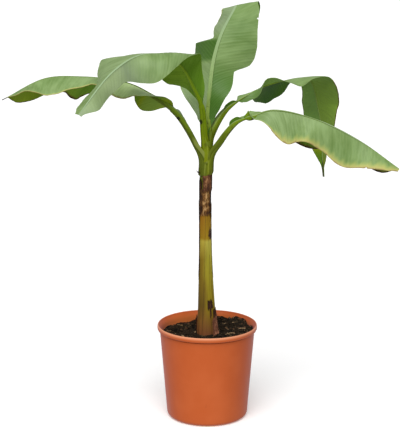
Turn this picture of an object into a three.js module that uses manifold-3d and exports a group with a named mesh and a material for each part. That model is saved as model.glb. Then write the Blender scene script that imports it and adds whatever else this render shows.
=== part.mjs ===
// Potted hardy banana: a young plant of five leaves in a round flared container.
// Millimetres, +Z up, +Y away from the front. The origin is the centre of the pot's flat underside.
// The right and left halves of a leaf are as seen from the stem, looking along the leaf.
import * as THREE from 'three';
import { mergeVertices } from 'three/addons/utils/BufferGeometryUtils.js';
import Module from 'manifold-3d';

// Clearance between pieces that touch.
const GAP = 0.3;

// Pot: a thin flared wall with a wider band at the rim.
const POT_HEIGHT = 245;
const RIM_RADIUS = 130;
const RIM_BAND = 14;
const RIM_OVERHANG = 8;
const RIM_THICKNESS = 7;
// Small easing of the edges.
const EASE = 1;
const FOOT_RADIUS = 106;
const FOOT_CORNER = 12;
const WALL = 2.5;
const ROUND_SEGMENTS = 48;

// Soil: a lumpy top just under the rim, with an eased edge and a flat seat round the stem.
const SOIL_LEVEL = 220;
const SOIL_EDGE = 10;
const SOIL_RINGS = 8;
const SOIL_LUMPS = 5;
const SEAT_RADIUS = 32;
const SEAT_FADE = 25;

// Pseudostem: its axis leans a little as it rises, and its foot flares.
// Heights on the plant are measured from the soil, here and for the leaves.
const STEM_AXIS = [[0, 0, 0], [-2, 0, 105], [-4, 0, 265], [-4, 1, 405], [-1, 3, 505]];
const STEM_RADII = [26, 22, 19.5, 17, 15.8, 15.5, 15.5, 15, 13];
const STEM_RINGS = 16;
const STEM_SIDES = 20;

// Dry sheath remnants: a papery collar half way up and a torn flap at the foot.
// Angles run anticlockwise from +X as seen from above.
const COLLAR = {
  from: -250, to: 50, bottom: 315, top: 410, ragged: 5, flare: 0, thickness: 1.2, steps: 20,
};
const FOOT_FLAP = {
  from: -95, to: 55, bottom: GAP, top: 95, ragged: 0, flare: 6, thickness: 2, steps: 14,
};
const SHEATH_CELLS = 6;
// A flared sheath is this share of its full height at its two edges.
const FLAP_EDGE = 0.3;

// Petioles: grooved limbs that leave the stem from within it. Belly, brim and groove are depths as
// shares of half the width: under the limb, at its upper edges and taken out between them.
const PETIOLE_WIDTHS = [18, 20, 17, 15];
const BELLY = 1.1;
const BRIM = 0.95;
const GROOVE = 0.45;
const PETIOLE_SIDES = 14;
const PETIOLE_STEP = 12;

// Blades: thin, with a rib under the middle that thins out towards the tip.
// Where a half is narrow, half the thickness is at most a share of its width.
const BLADE_THICKNESS = 5.5;
const RIB_DEPTH = 7;
const THIN_SHARE = 0.45;
const BLADE_STEP = 18;
const HALF_CELLS = 4;
const FINE_STATIONS = 240;
const DIVISIONS_PER_LANDMARK = 40;

// Leaves. midrib: landmarks from the foot in the stem to the tip, with the blade from landmark neck on.
// bend: share of the blade where it turns over and is divided in two.
// Each half has, from the neck to the tip, its width, the angle it is folded up (+) or down (-) at the
// midrib, and the further turn from the midrib to the margin, in evenly spaced values.
const LEAVES = [
  {
    name: 'upright',
    midrib: [
      [0, 5, 480], [0, 10, 560], [5, 20, 630], [15, 40, 705], [35, 60, 770],
      [65, 90, 825], [75, 115, 840], [80, 135, 820], [80, 150, 740], [65, 160, 640],
    ],
    neck: 1,
    across: [1, 0.1, 0],
    bend: 0.6,
    right: {
      width: [6, 40, 65, 95, 95, 80, 55, 60, 55, 40, 4],
      fold: [20, 30, 0, 0, 15, 30, 45, -10, -30, -30, -20],
      curl: [-10, -10],
    },
    left: {
      width: [6, 55, 110, 115, 115, 75, 25, 45, 60, 50, 4],
      fold: [-10, -20, -50, -60, -60, -75, -25, -20, -20, -20, -20],
      curl: [-15, -15],
    },
  },
  {
    name: 'front_left',
    midrib: [
      [-3, -2, 440], [-10, -10, 535], [-15, -25, 600], [-35, -45, 645], [-65, -75, 700],
      [-105, -115, 725], [-165, -165, 730], [-225, -215, 695], [-305, -260, 600],
    ],
    neck: 2,
    bend: 0.5,
    right: {
      width: [6, 25, 50, 60, 85, 100, 110, 90, 75, 55, 4],
      fold: [0, -5, -45, -35, -15, 0, 0, -5, -15, -15, -10],
      curl: [-15, -15],
    },
    left: {
      width: [6, 30, 55, 55, 75, 80, 65, 50, 45, 40, 4],
      fold: [10, 80, 95, 75, 35, -10, -50, -60, -75, -80, -40],
      curl: [-10, -15, -30, -90, -110, -70, -30, -25, -20, -20, -20],
    },
  },
  {
    name: 'left',
    midrib: [
      [-5, 0, 420], [-30, 0, 480], [-50, 0, 525], [-70, -5, 565], [-90, -10, 590],
      [-135, -15, 620], [-200, -25, 655], [-315, -45, 670], [-400, -60, 670], [-490, -80, 620],
    ],
    neck: 4,
    right: {
      width: [6, 40, 50, 50, 85, 90, 80, 70, 70, 50, 4],
      fold: [-10, -75, -80, -40, -20, -35, -35, -30, -35, -45, -30],
      curl: [-15, -15],
    },
    left: {
      width: [6, 40, 60, 55, 45, 45, 50, 60, 50, 40, 4],
      fold: [10, 25, 5, -40, -35, -10, -25, -30, -30, 0, -10],
      curl: [-15, -15],
    },
  },
  {
    name: 'back_right',
    midrib: [
      [2, 5, 440], [10, 10, 510], [25, 20, 545], [50, 30, 580], [85, 40, 600], [140, 60, 630],
      [200, 80, 645], [240, 100, 650], [265, 120, 645], [280, 130, 620], [290, 140, 580],
      [300, 140, 535], [310, 135, 390],
    ],
    neck: 4,
    bend: 0.42,
    right: {
      width: [6, 25, 30, 60, 75, 80, 80, 75, 70, 45, 4],
      fold: [-20, -40, 65, 5, 20, 15, 10, -5, -15, -20, 0],
      curl: [-15, -15],
    },
    left: {
      width: [6, 50, 90, 50, 35, 45, 55, 55, 45, 35, 4],
      fold: [-10, -15, -30, -35, 0, -10, 5, 0, 0, 10, 10],
      curl: [-15, -15],
    },
  },
  {
    name: 'right',
    midrib: [
      [0, -3, 415], [15, -10, 470], [35, -15, 515], [70, -25, 560], [105, -35, 585],
      [160, -50, 590], [265, -80, 570], [370, -110, 520], [465, -135, 455],
    ],
    neck: 4,
    right: {
      width: [6, 40, 65, 75, 65, 70, 80, 85, 75, 50, 4],
      fold: [-20, -55, -70, -70, -55, -75, -80, -75, -50, -30, -15],
      curl: [-10, -10],
    },
    left: {
      width: [6, 35, 70, 95, 95, 90, 90, 80, 70, 45, 4],
      fold: [-20, -35, -40, -55, -60, -50, -40, -35, -35, -35, -15],
      curl: [-15, -15],
    },
  },
];

const wasm = await Module();
wasm.setup();

// Colours and finishes.
const finish = (color, roughness) => new THREE.MeshStandardMaterial({ color, roughness, metalness: 0 });
const terracotta = finish(0xc16132, 0.55);
const soilBrown = finish(0x2e241c, 0.95);
const stemGreen = finish(0x93903c, 0.6);
const dryBrown = finish(0x6e4a2a, 0.9);
const petioleGreen = finish(0x8b9a38, 0.5);
const leafGreen = finish(0x86aa6b, 0.45);

const radians = THREE.MathUtils.degToRad;

// Smooth value at share u (0 to 1) of a list of evenly spaced values.
function along(values, u) {
  const points = values.map((value, i) => new THREE.Vector2(i, value));
  return new THREE.SplineCurve(points).getPoint(u).y;
}

// Reverses the triangles of a closed geometry whose faces point inwards.
function outward(geometry) {
  const position = geometry.attributes.position;
  const index = geometry.index.array;
  const corner = (i) => new THREE.Vector3().fromBufferAttribute(position, index[i]);
  let volume = 0;
  for (let i = 0; i < index.length; i += 3) {
    volume += corner(i).dot(corner(i + 1).cross(corner(i + 2)));
  }
  if (volume < 0) {
    for (let i = 0; i < index.length; i += 3) {
      [index[i + 1], index[i + 2]] = [index[i + 2], index[i + 1]];
    }
  }
  return geometry;
}

// Closed body through rings of equal, even point counts. Each end is filled as a strip, by pairing
// the points from the front of the ring with those from its back.
function loft(rings) {
  const count = rings[0].length;
  const index = [];
  const quad = (a, b, c, d) => index.push(a, b, c, a, c, d);
  for (let i = 0; i < rings.length - 1; i += 1) {
    for (let j = 0; j < count; j += 1) {
      const next = (j + 1) % count;
      quad(i * count + j, i * count + next, (i + 1) * count + next, (i + 1) * count + j);
    }
  }
  const last = (rings.length - 1) * count;
  for (let j = 0; j < count / 2 - 1; j += 1) {
    quad(j, count - 1 - j, count - 2 - j, j + 1);
    quad(last + j, last + j + 1, last + count - 2 - j, last + count - 1 - j);
  }
  const geometry = new THREE.BufferGeometry().setFromPoints(rings.flat());
  geometry.setIndex(index);
  return outward(geometry);
}

// Body of revolution about Z, from a profile of (radius, height) points that ends on the axis.
function turned(profile) {
  const geometry = new THREE.LatheGeometry(profile, ROUND_SEGMENTS).rotateX(Math.PI / 2);
  geometry.deleteAttribute('normal');
  geometry.deleteAttribute('uv');
  const merged = mergeVertices(geometry, 0.001);
  const kept = [];
  const corners = merged.index.array;
  for (let i = 0; i < corners.length; i += 3) {
    const [a, b, c] = corners.slice(i, i + 3);
    if (a !== b && b !== c && c !== a) kept.push(a, b, c);
  }
  merged.setIndex(kept);
  return outward(merged);
}

function toSolid(geometry) {
  const vertProperties = Float32Array.from(geometry.attributes.position.array);
  const triVerts = Uint32Array.from(geometry.index.array);
  return new wasm.Manifold(new wasm.Mesh({ numProp: 3, vertProperties, triVerts }));
}

// The geometry less the cutters, with only its largest piece kept.
function carved(geometry, cutters) {
  let solid = toSolid(geometry);
  for (const cutter of cutters) solid = solid.subtract(toSolid(cutter));
  const pieces = solid.decompose();
  pieces.sort((a, b) => b.volume() - a.volume());
  const mesh = pieces[0].getMesh();
  const result = new THREE.BufferGeometry();
  result.setAttribute('position', new THREE.BufferAttribute(mesh.vertProperties, 3));
  result.setIndex(new THREE.BufferAttribute(mesh.triVerts, 1));
  return result;
}

// Outer radius of the pot's wall below the rim band.
function wallRadius(height) {
  const share = (height - FOOT_CORNER) / (POT_HEIGHT - RIM_BAND - FOOT_CORNER);
  return THREE.MathUtils.lerp(FOOT_RADIUS, RIM_RADIUS - RIM_OVERHANG, Math.max(share, 0));
}

function potGeometry() {
  const bandFoot = POT_HEIGHT - RIM_BAND;
  const bandRound = RIM_THICKNESS / 2;
  const path = new THREE.Path();
  path.moveTo(0, 0);
  path.lineTo(FOOT_RADIUS - FOOT_CORNER, 0);
  path.quadraticCurveTo(FOOT_RADIUS - EASE, 0, FOOT_RADIUS, FOOT_CORNER);
  path.lineTo(wallRadius(bandFoot), bandFoot);
  path.lineTo(RIM_RADIUS - EASE, bandFoot);
  path.lineTo(RIM_RADIUS, bandFoot + EASE);
  path.lineTo(RIM_RADIUS, POT_HEIGHT - bandRound);
  path.absarc(RIM_RADIUS - bandRound, POT_HEIGHT - bandRound, bandRound, 0, Math.PI, false);
  path.lineTo(wallRadius(bandFoot) - WALL, bandFoot);
  path.lineTo(FOOT_RADIUS - WALL, FOOT_CORNER);
  path.quadraticCurveTo(FOOT_RADIUS - WALL - EASE, WALL, FOOT_RADIUS - FOOT_CORNER, WALL);
  path.lineTo(0, WALL);
  return turned(path.getPoints(4));
}

// Height of the soil's lumps, a short and a long wave, faded out towards the stem's flat seat.
function lumps(x, y) {
  const fade = THREE.MathUtils.smoothstep(Math.hypot(x, y), SEAT_RADIUS, SEAT_RADIUS + SEAT_FADE);
  const waves = Math.sin(x / 9 + 1) * Math.cos(y / 11) + 0.6 * Math.sin(x / 21 - y / 17 + 2);
  return SOIL_LUMPS * fade * (waves - 0.4);
}

function soilGeometry() {
  const bottom = WALL + GAP;
  const radius = (height) => wallRadius(height) - WALL - GAP;
  const edge = SOIL_LEVEL - SOIL_EDGE;
  const profile = [
    new THREE.Vector2(0, bottom),
    new THREE.Vector2(FOOT_RADIUS - FOOT_CORNER - GAP, bottom),
    new THREE.Vector2(radius(FOOT_CORNER), FOOT_CORNER + WALL),
    new THREE.Vector2(radius(edge), edge),
  ];
  for (let k = SOIL_RINGS; k >= 0; k -= 1) {
    const share = k / SOIL_RINGS;
    profile.push(new THREE.Vector2((radius(edge) - EASE) * share, SOIL_LEVEL - GAP));
  }
  const geometry = turned(profile);
  const position = geometry.attributes.position;
  for (let i = 0; i < position.count; i += 1) {
    if (position.getZ(i) < SOIL_LEVEL - EASE) continue;
    position.setZ(i, position.getZ(i) + lumps(position.getX(i), position.getY(i)));
  }
  return geometry;
}

// A place on the plant, given by its distances from the axis and its height above the soil.
const above = ([x, y, height]) => new THREE.Vector3(x, y, SOIL_LEVEL + height);

// Centre and radius of the stem at a height above the soil.
const stemAxis = new THREE.CatmullRomCurve3(STEM_AXIS.map(above));
const stemHeight = STEM_AXIS[STEM_AXIS.length - 1][2];
function stemAt(height) {
  const share = height / stemHeight;
  return { centre: stemAxis.getPointAt(share), radius: along(STEM_RADII, share) };
}

function stemGeometry(grow) {
  const rings = [];
  for (let i = 0; i <= STEM_RINGS; i += 1) {
    const height = (stemHeight * i) / STEM_RINGS;
    const { centre, radius } = stemAt(height);
    const lift = i === STEM_RINGS ? grow : 0;
    const ring = [];
    for (let j = 0; j < STEM_SIDES; j += 1) {
      const angle = (2 * Math.PI * j) / STEM_SIDES;
      const reach = radius + grow;
      ring.push(above([
        centre.x + reach * Math.cos(angle), centre.y + reach * Math.sin(angle), height + lift,
      ]));
    }
    rings.push(ring);
  }
  return loft(rings);
}

// Dry sheath wrapped round part of the stem, lowest at its two edges where it has a flare.
function sheathGeometry(sheath) {
  const rings = [];
  for (let k = 0; k <= sheath.steps; k += 1) {
    const share = k / sheath.steps;
    const angle = radians(THREE.MathUtils.lerp(sheath.from, sheath.to, share));
    const torn = sheath.ragged * Math.sin(5 * angle);
    const peak = sheath.flare ? THREE.MathUtils.lerp(FLAP_EDGE, 1, Math.sin(Math.PI * share)) : 1;
    const top = sheath.bottom + (sheath.top - sheath.bottom) * peak + torn;
    const low = sheath.bottom + sheath.ragged * Math.cos(3 * angle);
    const inner = [];
    const outer = [];
    for (let m = 0; m <= SHEATH_CELLS; m += 1) {
      const rise = m / SHEATH_CELLS;
      const height = THREE.MathUtils.lerp(low, top, rise);
      const { centre, radius } = stemAt(height);
      const spread = sheath.flare * Math.sin(Math.PI * share) * (1 - rise) ** 2;
      const reach = radius + 2 * GAP + spread;
      const place = (r) => above([
        centre.x + r * Math.cos(angle), centre.y + r * Math.sin(angle), height,
      ]);
      inner.push(place(reach));
      outer.unshift(place(reach + sheath.thickness));
    }
    rings.push([...inner, ...outer]);
  }
  return loft(rings);
}

// A leaf's midrib: its curve and length, the share of it at the neck and the direction across it.
function midribOf(leaf) {
  const points = leaf.midrib.map(above);
  const curve = new THREE.CatmullRomCurve3(points);
  const spans = points.length - 1;
  const divisions = DIVISIONS_PER_LANDMARK * spans;
  curve.arcLengthDivisions = divisions;
  const lengths = curve.getLengths(divisions);
  const length = lengths[divisions];
  const neck = lengths[(divisions * leaf.neck) / spans] / length;
  const heading = points[spans].clone().sub(points[leaf.neck]).setZ(0);
  const across = leaf.across
    ? new THREE.Vector3(...leaf.across)
    : new THREE.Vector3(heading.y, -heading.x, 0);
  return { curve, length, neck, across };
}

// Frames along a curve that don't twist about it: point, tangent, right and up.
function framesAlong(curve, from, to, count, across) {
  const frames = [];
  let right = across.clone();
  for (let i = 0; i <= count; i += 1) {
    const share = THREE.MathUtils.lerp(from, to, i / count);
    const tangent = curve.getTangentAt(share);
    right = right.clone().addScaledVector(tangent, -right.dot(tangent)).normalize();
    const up = right.clone().cross(tangent);
    frames.push({ point: curve.getPointAt(share), tangent, right, up });
  }
  return frames;
}

const placed = (frame, out, up) => frame.point.clone()
  .addScaledVector(frame.right, out)
  .addScaledVector(frame.up, up);

// Petiole from the foot to the neck: half round below, shallow and grooved above.
function petioleGeometry(leaf, grow) {
  const { curve, length, neck, across } = midribOf(leaf);
  const end = neck + (grow - GAP / 2) / length;
  const count = Math.ceil((neck * length) / PETIOLE_STEP);
  const frames = framesAlong(curve, end, 0, count, across);
  const rings = frames.map((frame, i) => {
    const half = along(PETIOLE_WIDTHS, 1 - i / count) / 2;
    const ring = [];
    for (let j = 0; j < PETIOLE_SIDES; j += 1) {
      const angle = (2 * Math.PI * j) / PETIOLE_SIDES;
      const side = Math.sin(angle);
      const depth = side < 0 ? BELLY * side : side * (BRIM - GROOVE * side);
      ring.push(placed(frame, (half + grow) * Math.cos(angle), half * depth + grow * side));
    }
    return ring;
  });
  return loft(rings);
}

// Cross-section of one half of a blade: distance out, height and slope from the midrib to the margin.
function halfSection(half, u) {
  const width = along(half.width, u);
  const fold = along(half.fold, u);
  const curl = along(half.curl, u);
  const points = [{ out: 0, up: 0, slope: radians(fold) }];
  for (let j = 0; j < HALF_CELLS; j += 1) {
    const before = points[j];
    const slope = radians(fold + (curl * (j + 0.5)) / HALF_CELLS);
    points.push({
      out: before.out + (Math.cos(slope) * width) / HALF_CELLS,
      up: before.up + (Math.sin(slope) * width) / HALF_CELLS,
      slope: radians(fold + (curl * (j + 1)) / HALF_CELLS),
    });
  }
  return points;
}

// Ring round the blade at share u: over the top from the left margin to the right, back underneath.
function bladeRing(leaf, frame, u) {
  const right = halfSection(leaf.right, u);
  const left = halfSection(leaf.left, u);
  const leftColumns = left.map(({ out, up, slope }) => [-out, up, Math.sin(slope), Math.cos(slope)]);
  const rightColumns = right.map(({ out, up, slope }) => [out, up, -Math.sin(slope), Math.cos(slope)]);
  const middle = leftColumns[0].map((value, k) => value + rightColumns[0][k]);
  const columns = [...leftColumns.slice(1).reverse(), middle, ...rightColumns.slice(1)];
  const narrow = Math.min(along(leaf.right.width, u), along(leaf.left.width, u));
  const skin = Math.min(BLADE_THICKNESS / 2, THIN_SHARE * narrow);
  const over = [];
  const under = [];
  columns.forEach(([out, up, leanOut, leanUp], j) => {
    const size = Math.hypot(leanOut, leanUp);
    const rib = j === HALF_CELLS ? RIB_DEPTH * (1 - u) : 0;
    const upper = skin / size;
    const lower = (skin + rib) / size;
    over.push(placed(frame, out + leanOut * upper, up + leanUp * upper));
    under.unshift(placed(frame, out - leanOut * lower, up - leanUp * lower));
  });
  return [...over, ...under];
}

// Blade between two shares of its length, drawn back by half a clearance at both ends.
function bladeGeometry(leaf, from, to) {
  const { curve, length, neck, across } = midribOf(leaf);
  const frames = framesAlong(curve, neck, 1, FINE_STATIONS, across);
  const bladeLength = length * (1 - neck);
  const count = Math.ceil(((to - from) * bladeLength) / BLADE_STEP);
  const rings = [];
  for (let i = 0; i <= count; i += 1) {
    const station = Math.round(FINE_STATIONS * THREE.MathUtils.lerp(from, to, i / count));
    const frame = { ...frames[station] };
    const shift = { 0: GAP / 2, [count]: -GAP / 2 }[i] ?? 0;
    frame.point = frame.point.clone().addScaledVector(frame.tangent, shift);
    rings.push(bladeRing(leaf, frame, station / FINE_STATIONS));
  }
  return loft(rings);
}

const plant = new THREE.Group();
function add(name, geometry, material) {
  const mesh = new THREE.Mesh(geometry, material);
  mesh.name = name;
  plant.add(mesh);
}

add('pot', potGeometry(), terracotta);
add('potting_soil', soilGeometry(), soilBrown);
add('pseudostem', stemGeometry(0), stemGreen);
add('dry_sheath_collar', sheathGeometry(COLLAR), dryBrown);
add('dry_sheath_foot', sheathGeometry(FOOT_FLAP), dryBrown);

// Each petiole hugs the stem and the petioles inside it.
const inside = [stemGeometry(GAP)];
for (const leaf of LEAVES) {
  add(`${leaf.name}_petiole`, carved(petioleGeometry(leaf, 0), inside), petioleGreen);
  inside.push(petioleGeometry(leaf, GAP));
}

for (const leaf of LEAVES) {
  if (leaf.bend) {
    add(`${leaf.name}_leaf_rise`, bladeGeometry(leaf, 0, leaf.bend), leafGreen);
    add(`${leaf.name}_leaf_fall`, bladeGeometry(leaf, leaf.bend, 1), leafGreen);
  } else {
    add(`${leaf.name}_leaf`, bladeGeometry(leaf, 0, 1), leafGreen);
  }
}

export default plant;
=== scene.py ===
import math
import random

import bpy
import numpy as np
from mathutils import Euler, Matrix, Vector, noise


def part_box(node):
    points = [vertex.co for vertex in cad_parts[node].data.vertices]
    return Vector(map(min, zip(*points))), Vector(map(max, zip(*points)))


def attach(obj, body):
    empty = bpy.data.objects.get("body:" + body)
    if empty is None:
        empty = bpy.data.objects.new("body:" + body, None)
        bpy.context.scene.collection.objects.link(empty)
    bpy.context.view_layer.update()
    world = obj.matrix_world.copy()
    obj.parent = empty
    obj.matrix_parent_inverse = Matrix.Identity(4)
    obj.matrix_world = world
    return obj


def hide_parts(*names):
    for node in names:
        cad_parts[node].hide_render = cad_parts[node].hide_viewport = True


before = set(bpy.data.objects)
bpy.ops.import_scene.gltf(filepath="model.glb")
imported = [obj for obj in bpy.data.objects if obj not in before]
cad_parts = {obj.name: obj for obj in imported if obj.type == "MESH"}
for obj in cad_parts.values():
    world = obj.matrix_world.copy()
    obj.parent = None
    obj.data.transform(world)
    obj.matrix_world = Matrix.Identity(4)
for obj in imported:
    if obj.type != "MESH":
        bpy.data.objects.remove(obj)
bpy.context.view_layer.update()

# Looks of a young hardy banana in a round pot. Metres and degrees, +Z up, +Y away from the front.
# The right and left halves of a leaf are as seen from the stem, looking along the leaf.
# A pair of numbers under one name says where something starts and where it is full.

# Camera: long lens a little above the crown, looking slightly down.
CAMERA_PLACE = (-0.0188, -3.0, 1.165)
CAMERA_DIP = 11.8
CAMERA_LENS = 101

# Light: a pale sky, dimmer at both sides, and a broad soft sun, high in front and a little to the left.
SKY_STRENGTH = 0.5
SKY_BELOW = 0.74
SKY_HORIZON = (-0.3, 0.3)
SKY_SIDES = 0.55
SKY_ASIDE = (0.45, 0.95)
SUN_STRENGTH = 2.4
SUN_HEIGHT = 52
SUN_ASIDE = 10
SUN_SPREAD = 50
FLOOR_GLOW = 0.14
FLOOR_RADIUS = 120
FLOOR_SIDES = 64

# Pot: a thin flared wall with a rolled rim. Its height and widest radius come from the frame.
RIM_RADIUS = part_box("pot")[1].x
POT_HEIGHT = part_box("pot")[1].z
RIM_BAND = 0.013
RIM_OVERHANG = 0.0065
RIM_THICKNESS = 0.0045
RIM_GROOVE = 0.0015
FOOT_RADIUS = 0.106
FOOT_CORNER = 0.012
POT_WALL = 0.0025
POT_SIDES = 128
# Rings of the foot's corner, of the wall and of the rim, and the rim's turn from one to the next.
FOOT_RINGS = 7
WALL_RINGS = 12
RIM_RINGS = 14
RIM_TURN = 18
# Rings of the rim's painted highlight: where it starts, is full, begins to fade and ends.
HIGHLIGHT_RINGS = (4, 8, 10, 12)
# Rings inside the rim: how far in from its edge and below its top, and how far they count as inside,
# which is their share of painted light on the shaded inner wall.
INNER_RIM = [(0.0062, 0.0055, 0.1), (0.0083, 0.009, 0.3), (0.0098, 0.0128, 0.6), (0.0105, 0.019, 0.9)]
INNER_DEPTH = 2.5 * RIM_BAND
# The last rings, on the inner wall, carry a painted shade towards the right.
SHADED_RINGS = 10
SHADE_REACH = (0.03, 0.1)

# Soil: lumps on a level just under the rim, with a flat seat round the stem and banks at the right.
SOIL_LEVEL = 0.22
SOIL_LUMPS = 0.0035
LUMP_WAVES = (0.009, 0.011)
SWELL_WAVES = (0.021, 0.017)
SOIL_GRAIN = 0.0035
GRAIN_SCALE = 60
SEAT_RADIUS = 0.032
SEAT_FADE = 0.025
SOIL_BANK = 0.012
BANK_REACH = (0.02, 0.1)
BANK_SKEW = 0.4
SOIL_BACK = 0.008
BACK_REACH_X = (0.06, 0.095)
BACK_REACH_Y = (0.045, 0.065)
SOIL_GAP = 0.001
SOIL_SHOULDER = 0.006
SOIL_TOP_SHARE = 0.8
SOIL_GRID = (140, 90)
LITTER_GAP = 0.006
# Long bark curls: place, length and turn.
BARK_CURLS = [(0.063, -0.03, 0.033, 4), (0.091, -0.012, 0.022, -6), (-0.066, -0.042, 0.018, -40)]
CURL_WIDTH = 0.0045
CURL_THICKNESS = 0.0014
CURL_BEND = 0.1
CURL_ARCH = 0.1
CURL_LIFT = 0.002
CURL_END = 0.05
CURL_GRID = (10, 16)

# Pseudostem. Heights on the plant are measured from the soil.
STEM_AXIS = [(0, 0, 0), (-.003, 0, .105), (-.0052, 0, .265), (-.0052, .001, .405), (-.001, .003, .505)]
STEM_RADII = [.0275, .0225, .0195, .017, .0158, .0155, .0155, .015, .013]
STEM_TOP = STEM_AXIS[-1][2]
STEM_RIBBING = 0.0002
STEM_GRID = (160, 220)
# Edges of the wrapped sheaths: angle at the soil, turn up the stem, and top.
SHEATH_EDGES = [
    (-62, 25, .36), (48, -40, .42), (150, 30, .5), (-118, 55, .5), (-20, -70, .5), (215, -25, .5),
]
SHEATH_STEP = 0.0011
SHEATH_TOP_FADE = 0.03
# In radians round the stem: the step's rise and fade past a sheath's edge, and the seam before it.
SHEATH_RISE = 0.09
SHEATH_FADE = 1.1
SEAM_START = 0.12
SEAM_FULL = 0.01
# The stem is thinner under the collar, between these heights.
COLLAR_WAIST = 0.0012
WAIST_START = (0.3, 0.32)
WAIST_END = (0.4, 0.44)
# A dark scar: its height and reach, how far right it faces, with its reach, and how far to the front.
SCAR_HEIGHT = 0.267
SCAR_TALL = 0.016
SCAR_RIGHT = 0.8
SCAR_WIDE = 0.36
SCAR_FRONT = (-0.2, 0.3)
PAPER_THICKNESS = 0.0005
PAPER_CREASE = 0.0006
CREASE_SCALE = (14, 30)
RAGGED_SCALE = 9
BITE_SCALE = 60
STUB_PATH = [(-.016, -.008, .422), (-.021, -.012, .427), (-.026, -.0145, .429), (-.028, -.015, .434)]
STUB_RADIUS = 0.0026
STUB_GRID = (8, 10)

# Petioles: depth below and above as shares of the half width, the channel, and how far the rib stands
# out of the blade. The base wraps the stem: its thickness and layers, and the lengths up to which its
# edges and the whole of it are held.
BELLY = 1.1
BRIM = 0.95
GROOVE = 0.45
RIB_PROUD = 0.22
RIB_REACH = (-0.02, 0.1)
RIB_SIDES = 32
RIB_STEP = 0.003
LEAN_REACH = (0, 0.08)
BASE_THICKNESS = 0.002
BASE_LAYER = 0.0008
BASE_HOLD = 0.035
BASE_RISE = 0.085
LIP_FACING = (0.5, 0.9)
LIP_START = (0.02, 0.04)
LIP_END = (BASE_RISE - 0.015, BASE_RISE + 0.06)
SHADOW_SPOT_FACING = (0.35, 0.95)
WITHER_FADE = 0.03
STRANDS_ROUND = 5
STRANDS_ALONG = 7

# Blades: thickness, lateral veins, pleats, the ripple of the margin, its dry edge, tears and wings.
BLADE_THICKNESS = 0.0009
BLADE_COLUMNS = 44
BLADE_STEP = 0.0016
MARGIN_CROWDING = 1.3
VEIN_SPACING = 0.0045
VEIN_SLANT = 0.5
NECK_SLANT = 1.1
NECK_REACH = (0, 0.3)
PLEAT = 0.00018
PLEAT_VEINS = 3
PLEAT_REACH = (0.002, 0.02)
RIPPLES = (0.125, 0.071)
RIPPLE_RISE = 1.7
RIPPLE_WIDTH = 0.04
DRY_FADE = (0, 0.003)
DRY_FRAY = 0.25
FRAY_WAVES = (310, 87)
LEAST_CURL = 1e-3
LEAST_DRY = 1e-5
TEAR_REACH = 0.03
WING_FOLD = 65
WING_LENGTH = 0.065
PATH_CUTS = 60
PATH_STEP = 0.001

# Leaves, from the innermost to the outermost. Shares run from the neck, 0, to the tip, 1. A list has
# evenly spaced values from the neck to the tip, or pairs of a share and a value.
# midrib: landmarks from the foot in the stem to the tip, with the blade from landmark neck on.
# across: the way to the right at the neck, where it isn't level. rib: width of the midrib.
# ripple: how far the margin waves.
# right, left: the halves. width. fold: the angle up (+) or down (-) at the midrib. curl: the further turn
# from there to the margin. dry: width of the dry edge. tone: deeper (+) or paler (-) above, partly the
# blade's own tone and partly painted shade and painted light. under: the same below, where it differs.
LEAF_DEFAULTS = {
    "thread": 0,  # length of the thin end beyond the tip
    "withered": 2,  # share from which the rib is dry
    "petiole": [.023, .0225, .0195, .0165],  # widths from the stem to the neck
    "drop": .018,  # how far the base runs on down the stem
    "wrap": 85,  # half the angle that the base wraps
    "belly": 1,  # how much painted shade the petiole has below
    "lip": 0,  # how pale the petiole's margins are, with a painted shade band just inside them
    "dull": 0,  # how far the petiole is greyed
    "bruises": [],  # painted shadow spots on it: length from the foot, angle round it and reach
    "wing": WING_LENGTH,  # how far the blade runs down the petiole
    "flaps": [],  # on the petiole: side, distance before the neck, half length, height and angle
    "tears": [],  # side, share, depth as a share of the half's width, and gap at the margin
}
HALF_DEFAULTS = {"curl": [-15, -15], "dry": [0, 0]}
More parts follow.
